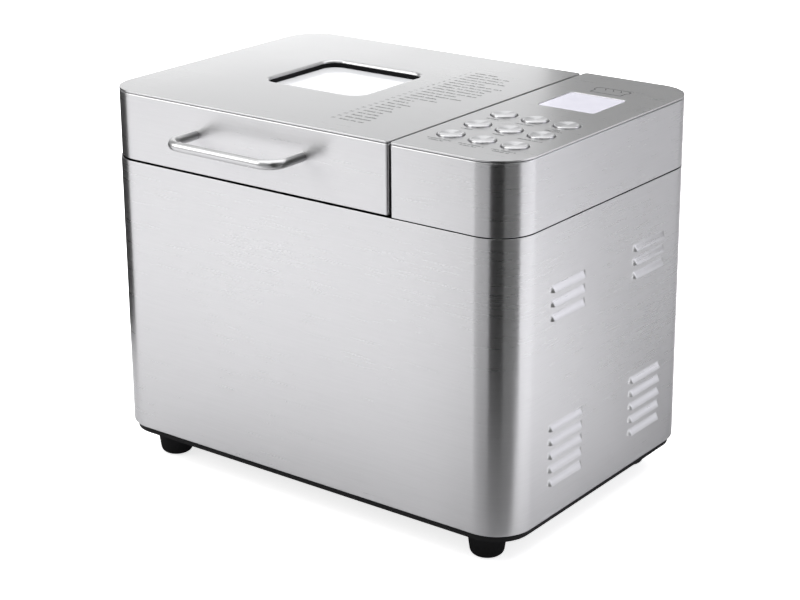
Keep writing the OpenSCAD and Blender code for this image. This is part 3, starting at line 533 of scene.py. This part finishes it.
button_metal = Finish("button_metal", {"Metallic": 1.0, "Anisotropic": 0.9, "Anisotropic Rotation": 0.25})
swirl = button_metal.noise(button_metal.place, 900.0, 3.0)
button_metal.wear(
    Base_Color=button_metal.blend(swirl, (0.70, 0.70, 0.71), (0.84, 0.84, 0.85)),
    Roughness=0.27 + 0.08 * swirl,
)
button_metal.bump(swirl, 0.10, 0.02 * mm)
dish_r, dish_deep = 60 * mm, 0.55 * mm
stem_r, axis_r = 2.6 * mm, 0.02 * mm
flange_top, flange_foot = plate_z - 0.3 * mm, plate_z - 1.5 * mm
for name, (x, y) in zip(buttons, centres):
    low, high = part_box("button_" + name)
    rim_z = high.z
    dish = [r * mm for r in (0.02, 1, 2, 3, 4, 5, 6, 7, 7.6)]
    profile = [(r, rim_z - dish_deep + dish_r - math.sqrt(dish_r ** 2 - r ** 2)) for r in dish]
    profile += [(8.0 * mm, rim_z - 0.02 * mm), (8.25 * mm, rim_z - 0.03 * mm), (8.5 * mm, rim_z - 0.12 * mm)]
    profile += [(8.68 * mm, rim_z - 0.30 * mm), (cap_r, rim_z - 0.55 * mm), (cap_r, flange_top)]
    profile += [(cap_r + cap_flange, flange_top), (cap_r + cap_flange, flange_foot)]
    profile += [(stem_r, flange_foot), (stem_r, low.z), (axis_r, low.z)]
    cap = Stock()
    rings = turned(cap, x, y, profile)
    cap.faces.append(tuple(rings[0]))
    button = "button_" + name
    finish_piece("cap_" + name, cap, button_metal.material, "button_metal", button, button)


# Display
# A clear lens pressed up into the plate from below, over a pale grey liquid-crystal display.
lens_plastic = Finish("lens_plastic", {"Coat Weight": 0.8, "Coat Roughness": 0.04, "Specular IOR Level": 0.6})
film = lens_plastic.noise(lens_plastic.place, 60.0, 3.0)
lens_plastic.wear(
    Base_Color=lens_plastic.blend(film, (0.50, 0.49, 0.56), (0.58, 0.57, 0.64)),
    Roughness=0.16 + 0.10 * film,
)
lens = Stock()
lens_slip, lens_r = 0.3 * mm, 2.7 * mm
lens_line = outline(
    (hole_low[0] + lens_slip, hole_low[1] + lens_slip), (hole_high[0] - lens_slip, hole_high[1] - lens_slip),
    (lens_r,) * 4, 8,
)
flange_line = outline((screen_low.x, screen_low.y), (screen_high.x, screen_high.y), (4 * mm,) * 4, 8)
foot = lens.sweep(flange_line, [(0.0, screen_low.z), (0.0, plate_z - 0.4 * mm)])
face = lens.sweep(lens_line, [(0.0, plate_z - 0.4 * mm)] + rolled(screen_high.z, 0.5 * mm, 1, 4))
lens.sheet(foot[0], up=False)
lens.sheet(foot[1], [face[0]])
lens.sheet(face[-1])
finish_piece("display_lens", lens, lens_plastic.material, "display", "root", "display_window")


# Printing
# Thin grey ink on the two top plates: a numbered list of programmes on the lid, a short line in front
# of each button and a small loaf behind the display. The words are only rows of strokes.
ink = Finish("ink", {})
wornness = ink.noise(ink.place, 1200.0, 2.0)
ink.wear(
    Base_Color=ink.blend(wornness, (0.035, 0.035, 0.037), (0.075, 0.075, 0.075)),
    Roughness=0.40 + 0.2 * wornness,
)
random.seed(7)
ink_z = top_z + 0.02 * mm


def box_print(stock, x0, y0, x1, y1):
    ring = stock.ring([(x0, y0, ink_z), (x1, y0, ink_z), (x1, y1, ink_z), (x0, y1, ink_z)])
    stock.faces.append(tuple(ring))


def words(stock, x, y, length, height):
    """A line of strokes that reads as small print, from x to the right."""
    end, letter, run = x + length, height * 0.34, random.randint(4, 9)
    while x + letter < end:
        tall = height if random.random() < 0.3 else height * 0.7
        box_print(stock, x, y, x + letter * 0.62, y + tall)
        if random.random() < 0.95:
            middle = y + tall * random.choice((0.0, 0.45, 0.8))
            box_print(stock, x + letter * 0.45, middle, x + letter * 1.25, middle + height * 0.24)
        if random.random() < 0.8:
            box_print(stock, x + letter * 1.15, y, x + letter * 1.7, y + height * 0.66)
        run -= 1
        x += letter * (2.0 if run else 3.6)
        run = run or random.randint(3, 9)


def number(stock, value, x, y, height):
    """A plain number, right-aligned at x."""
    text = bpy.data.curves.new("number", "FONT")
    text.body = str(value)
    text.size = height * 1.4
    text.align_x = "RIGHT"
    shape = bpy.data.objects.new("number", text)
    bpy.context.scene.collection.objects.link(shape)
    mesh = bpy.data.meshes.new_from_object(shape.evaluated_get(bpy.context.evaluated_depsgraph_get()))
    start = len(stock.points)
    stock.points.extend((x + v.co.x, y + v.co.y, ink_z) for v in mesh.vertices)
    stock.faces.extend(tuple(start + i for i in f.vertices) for f in mesh.polygons)
    bpy.data.objects.remove(shape)
    bpy.data.curves.remove(text)
    bpy.data.meshes.remove(mesh)


list_print = Stock()
case_left = -right
list_lengths = [20, 34, 35, 40, 27, 47, 43, 42, 43, 44, 30, 40, 25]
list_lengths += [28, 14, 14, 22, 16, 15, 20, 16, 18, 21, 21, 22]
list_back, list_front, print_high = 190.8 * mm, 28.4 * mm, 2.5 * mm
for i, length in enumerate(list_lengths):
    y = front + list_back + (list_front - list_back) * i / (len(list_lengths) - 1)
    number(list_print, i + 1, case_left + 195.2 * mm, y, print_high)
    words(list_print, case_left + 199 * mm, y, length * mm, print_high)
finish_piece("lid_printing", list_print, ink.material, "top_steel", "lid")

panel_print = Stock()
label_lengths = [(19, 12), (20, 13), (19, 13), (9,), (9,), (20,), (11,), (15,), (7, 14)]
for (x, y), lines in zip(centres, label_lengths):
    for i, length in enumerate(lines):
        words(panel_print, x + (0.5 - length / 2) * mm, y - (14.8 + 3.4 * i) * mm, length * mm, 1.9 * mm)
screen_x = (screen_low.x + screen_high.x) / 2
loaf_y = screen_high.y + 6 * mm
crown = [(-13, 0), (13, 0), (13, 7), (15, 9.5), (14.5, 13)]
crown += [(11, 15), (-11, 15), (-14.5, 13), (-15, 9.5), (-13, 7)]
inner = [(x * 0.93, 0.8 + y * 0.89) for x, y in crown]
rings = [
    panel_print.ring([(screen_x + x * mm, loaf_y + y * mm, ink_z) for x, y in shape])
    for shape in (crown, inner)
]
panel_print.join(*rings)
for i in (-1, 0, 1):
    x = screen_x + (6.5 * i + 1) * mm
    slash = [(x, loaf_y + 9 * mm, ink_z), (x + 0.9 * mm, loaf_y + 9 * mm, ink_z),
             (x - 1.1 * mm, loaf_y + 13 * mm, ink_z), (x - 2 * mm, loaf_y + 13 * mm, ink_z)]
    panel_print.faces.append(tuple(panel_print.ring(slash)))
finish_piece("panel_printing", panel_print, ink.material, "top_steel", "root")


# Feet
# Four moulded rubber pucks, each with a soft lower edge and a counterbore for its screw.
feet_low, feet_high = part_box("feet")
foot_top_r, foot_low_r, foot_edge = 14.5 * mm, 12.3 * mm, 5 * mm
head_r, shank_r, seat_z = 4.5 * mm, 2.0 * mm, 11 * mm
pucks = Stock()
for x in (feet_low.x + foot_top_r, feet_high.x - foot_top_r):
    for y in (feet_low.y + foot_top_r, feet_high.y - foot_top_r):
        profile = [(foot_top_r, feet_high.z), (foot_top_r - 0.05 * mm, feet_high.z - 1 * mm)]
        profile += [(foot_low_r + 0.1 * mm, foot_edge + 0.4 * mm)]
        profile += [
            (foot_low_r - foot_edge + foot_edge * math.cos(a), foot_edge - foot_edge * math.sin(a))
            for a in (math.radians(90 * i / 8) for i in range(9))
        ]
        profile += [(head_r + 0.5 * mm, 0.0), (head_r, 0.5 * mm), (head_r, seat_z)]
        profile += [(shank_r, seat_z), (shank_r, feet_high.z)]
        rings = turned(pucks, x, y, profile, 40)
        pucks.join(rings[0], rings[-1])
finish_piece("rubber_feet", pucks, rubber, "rubber", "root", "feet")


# Works and inner parts
# Everything under the sheets keeps its own shape and takes the finish of what it is made of.
black_plastic = moulded(
    "black_plastic", (0.003, 0.003, 0.0033), (0.007, 0.007, 0.0074), 0.50, 900.0, 0.05 * mm, 0.12,
)
white_plastic = moulded(
    "white_plastic", (0.72, 0.71, 0.67), (0.84, 0.83, 0.80), 0.42, 700.0, 0.03 * mm,
)


def cast(name, dark, light, rough, grain, depth, metallic=1.0):
    """Metal as it comes from casting, plating, rolling or drawing, with its own spotting."""
    metal = Finish(name, {"Metallic": metallic})
    spots = metal.noise(metal.place, grain, 5.0, 0.6)
    slow = metal.noise(metal.place, 24.0, 3.0)
    metal.wear(
        Base_Color=metal.blend(0.6 * spots + 0.4 * slow, dark, light),
        Roughness=rough + 0.25 * (slow - 0.5),
    )
    metal.bump(spots, 0.3, depth)
    return metal.material


def striped(name, dark, light, rough, metallic, pitch, depth, direction):
    """Stacked sheets or wound wire: bands at a pitch along one axis."""
    metal = Finish(name, {"Metallic": metallic})
    bands = metal.node(
        "ShaderNodeTexWave", {"bands_direction": direction, "wave_profile": "SIN"},
        {"Vector": metal.place, "Scale": math.pi / (10 * pitch), "Distortion": 0.4, "Detail": 1.0}, "Fac",
    )
    spots = metal.noise(metal.place, 300.0, 3.0)
    metal.wear(
        Base_Color=metal.blend(0.7 * bands + 0.3 * spots, dark, light),
        Roughness=rough + 0.15 * spots,
    )
    metal.bump(bands, 0.6, depth)
    return metal.material


board_green = Finish("circuit_board", {"Specular IOR Level": 0.6})
tracks = board_green.node(
    "ShaderNodeTexBrick", {},
    {"Vector": board_green.place, "Scale": 160.0, "Mortar Size": 0.03,
     "Color1": (0, 0, 0, 1), "Color2": (0, 0, 0, 1), "Mortar": (1, 1, 1, 1)}, "Fac",
)
mottle = board_green.noise(board_green.place, 90.0, 3.0)
board_green.wear(
    Base_Color=board_green.blend(0.7 * tracks + 0.2 * mottle, (0.012, 0.075, 0.03), (0.06, 0.26, 0.10)),
    Roughness=0.32 + 0.2 * mottle,
)
board_green.bump(tracks, 0.3, 0.05 * mm)

finishes = {
    "case_steel": case_steel,
    "top_steel": top_steel,
    "polished_steel": bar_steel,
    "button_metal": button_metal.material,
    "black_plastic": black_plastic,
    "rubber": rubber,
    "zinc_steel": cast("zinc_steel", (0.52, 0.52, 0.50), (0.70, 0.70, 0.68), 0.34, 120.0, 0.02 * mm),
    "oven_steel": cast("oven_steel", (0.56, 0.55, 0.53), (0.68, 0.67, 0.65), 0.30, 60.0, 0.01 * mm),
    "heater_sheath": cast(
        "heater_sheath", (0.07, 0.065, 0.065), (0.20, 0.18, 0.17), 0.5, 400.0, 0.04 * mm, 0.8,
    ),
    "cast_aluminium": cast("cast_aluminium", (0.58, 0.58, 0.59), (0.74, 0.74, 0.75), 0.46, 700.0, 0.08 * mm),
    "bronze": cast("bronze", (0.45, 0.30, 0.14), (0.62, 0.44, 0.22), 0.4, 900.0, 0.05 * mm),
    "copper": striped("copper", (0.36, 0.14, 0.06), (0.72, 0.34, 0.16), 0.3, 0.9, 0.7 * mm, 0.2 * mm, "Z"),
    "lamination": striped(
        "lamination", (0.14, 0.145, 0.155), (0.32, 0.33, 0.35), 0.4, 0.9, 0.6 * mm, 0.1 * mm, "Z",
    ),
    "white_plastic": white_plastic,
    "circuit_board": board_green.material,
    "nonstick": cast("nonstick", (0.045, 0.045, 0.048), (0.085, 0.085, 0.09), 0.36, 1600.0, 0.02 * mm, 0.35),
    "wire_steel": cast("wire_steel", (0.66, 0.66, 0.67), (0.78, 0.78, 0.79), 0.18, 300.0, 0.01 * mm),
    "glass": pane_glass.material,
    "display": lens_plastic.material,
}
for part in frame["record"]["subparts"]:
    node = frame["nodes"][part["node"]]
    node.data.materials.clear()
    node.data.materials.append(finishes[part["material_slot"]])


# Studio
# A white floor that glows a little, under wide soft lights. Shiny surfaces see a greyer floor in its
# place, and three black and two grey cards. That second floor and the cards show only as reflections.
def studio_plane(name, corners, colour, shade=None, only_reflected=True):
    mesh = bpy.data.meshes.new(name)
    mesh.from_pydata(corners, [], [(0, 1, 2, 3)])
    thing = bpy.data.objects.new(name, mesh)
    bpy.context.scene.collection.objects.link(thing)
    paint = Finish(name, {"Roughness": 0.9, "Specular IOR Level": 0.1})
    factor = shade(paint) if shade else paint.noise(paint.place, 3.0, 2.0)
    faint = tuple(0.0 if shade else c * 0.98 for c in colour)
    paint.wear(Base_Color=paint.blend(factor, faint, colour))
    mesh.materials.append(paint.material)
    if only_reflected:
        thing.visible_camera = False
        thing.visible_diffuse = False
        thing.visible_shadow = False
        thing.visible_transmission = False
    return thing


def level_plane(reach, z):
    return [(-reach, -reach, z), (reach, -reach, z), (reach, reach, z), (-reach, reach, z)]


def ramp(paint, value, start, end):
    """0 before start, 1 after end, and a straight change between them."""
    return paint.node("ShaderNodeMapRange", {}, {"Value": value, "From Min": start, "From Max": end})


# Shares of the reflected floor's tone, and the distances over which each change runs. The darkening
# is painted shade: the machine's shadow on the floor close by, and a dimmer floor to its right and behind.
near_floor, near_band = 0.62, (0.10, 0.65)
edge_dark, edge_relief, edge_band, edge_slope, edge_start = 0.36, 0.28, (0.12, 0.17), 0.754, 0.105
side_dark, side_band = 0.40, (0.18, 0.26)
back_dark, back_band, back_slope, back_start = 0.52, (-0.05, 0.13), 1.327, 0.18
out_tone, out_gain, out_band = 0.70, 0.66, (0.20, 0.75)
beside_tone, beside_x, beside_y = 0.97, (0.16, 0.18), (-0.12, -0.10)


def floor_shade(paint):
    """Painted shade on the reflected floor: darker close to the machine, and to the right of it darker the
    farther back it lies.
    """
    parts = paint.tree.nodes.new("ShaderNodeSeparateXYZ")
    connect(parts.inputs[0], paint.place)
    x, y = Wire(parts.outputs[0]), Wire(parts.outputs[1])
    away = ramp(paint, y * -1.0, *near_band)
    ahead = near_floor + (1.0 - near_floor) * away
    aside = x - edge_slope * (y + edge_start)
    edge_fall = (
        1.0 - (edge_dark - edge_relief * away) * ramp(paint, aside, *edge_band)
        - side_dark * ramp(paint, aside, *side_band)
    )
    back_fall = 1.0 - back_dark * ramp(paint, y - back_slope * (x - back_start), *back_band)
    out_rise = out_tone + out_gain * ramp(paint, x, *out_band)
    beside = ramp(paint, x, *beside_x) * ramp(paint, y, *beside_y)
    front = ahead * edge_fall
    return front + beside * (beside_tone * back_fall * out_rise - front)


floor = studio_plane("floor", level_plane(8.0, 0.0), (0.95, 0.95, 0.95), only_reflected=False)
floor_nodes = floor.data.materials[0].node_tree.nodes
floor_shader = next(n for n in floor_nodes if n.type == "BSDF_PRINCIPLED")
floor_glow = 0.75
floor_shader.inputs["Emission Color"].default_value = (1, 1, 1, 1)
floor_shader.inputs["Emission Strength"].default_value = floor_glow
floor.visible_glossy = False
# This second floor carries painted shade, darker near the machine and to its right, seen only in reflections.
studio_plane("floor_reflected", level_plane(8.0, 0.4 * mm), (0.802, 0.797, 0.813), floor_shade)


def flag(name, a, b, z0, z1, tone):
    studio_plane(name, [(*a, z0), (*b, z0), (*b, z1), (*a, z1)], (tone, tone, tone))


flag("flag_right", (0.21, -0.34), (0.335, -0.24), 0.0, 0.9, 0.01)
flag("flag_right_grey", (0.335, -0.24), (0.435, -0.075), 0.0, 0.9, 0.12)
flag("flag_far_right", (0.90, -1.60), (1.90, -0.20), 0.0, 1.4, 0.02)
flag("flag_left", (-0.43, -0.21), (-0.38, 0.30), 0.0, 0.29, 0.03)
flag("flag_behind", (-0.13, 0.42), (0.42, 0.42), 0.24, 0.60, 0.26)


def soft_light(name, place, aim, wide, high, power, colour, reflected=True):
    data = bpy.data.lights.new(name, "AREA")
    data.shape = "RECTANGLE"
    data.size, data.size_y = wide, high
    data.energy = power
    data.color = colour
    lamp = bpy.data.objects.new(name, data)
    lamp.location = place
    lamp.rotation_euler = (Vector(aim) - Vector(place)).to_track_quat("-Z", "Y").to_euler()
    lamp.visible_camera = False
    lamp.visible_glossy = reflected
    bpy.context.scene.collection.objects.link(lamp)


soft_light("overhead", (0.0, 0.1, 1.9), (0, 0, 0), 2.2, 2.2, 36, (1.0, 1.0, 1.0), False)
soft_light("ceiling", (0.0, 0.1, 2.0), (0, 0.1, 0), 3.0, 3.0, 37, (1.0, 1.0, 1.0))
soft_light("left_front", (-1.5, -1.3, 1.2), (0, 0, 0.1), 1.4, 1.2, 16, (1.0, 0.995, 0.98))
soft_light("right_back", (1.6, 1.3, 1.0), (0, 0, 0.15), 1.6, 1.4, 8, (0.93, 0.92, 1.0))
soft_light("behind_left", (-0.97, 1.24, 0.70), (-0.05, 0.02, 0.289), 1.6, 0.9, 1.0, (1.0, 1.0, 1.0))
soft_light("behind_low", (-0.50, 0.55, 0.40), (-0.05, 0.08, 0.289), 0.8, 0.12, 0.36, (1.0, 1.0, 1.0))

scene = bpy.context.scene
scene.view_settings.view_transform = "Standard"
world = bpy.data.worlds.new("studio_air")
world.use_nodes = True
air = world.node_tree.nodes["Background"]
air.inputs["Color"].default_value = (0.98, 0.985, 1.0, 1)
air.inputs["Strength"].default_value = 0.42
scene.world = world

# The camera stands in front, to the right of and above the machine
azimuth, elevation, roll = math.radians(37.1115), math.radians(17.7517), math.radians(-0.3659)
flat_reach = math.cos(elevation)
ahead = Vector((-math.sin(azimuth) * flat_reach, math.cos(azimuth) * flat_reach, -math.sin(elevation)))
level = Vector((math.cos(azimuth), math.sin(azimuth), 0))
upright = level.cross(ahead)
across = level * math.cos(roll) + upright * math.sin(roll)
upright = across.cross(ahead)
camera_data = bpy.data.cameras.new("camera")
camera_data.sensor_width = 36
camera_data.lens = 88.995
camera_data.shift_y = -0.09375
camera = bpy.data.objects.new("camera", camera_data)
camera.matrix_world = Matrix.Translation((0.841464, -1.094886, 0.631688)) @ Matrix(
    (across, upright, -ahead)
).transposed().to_4x4()
scene.collection.objects.link(camera)
scene.camera = camera
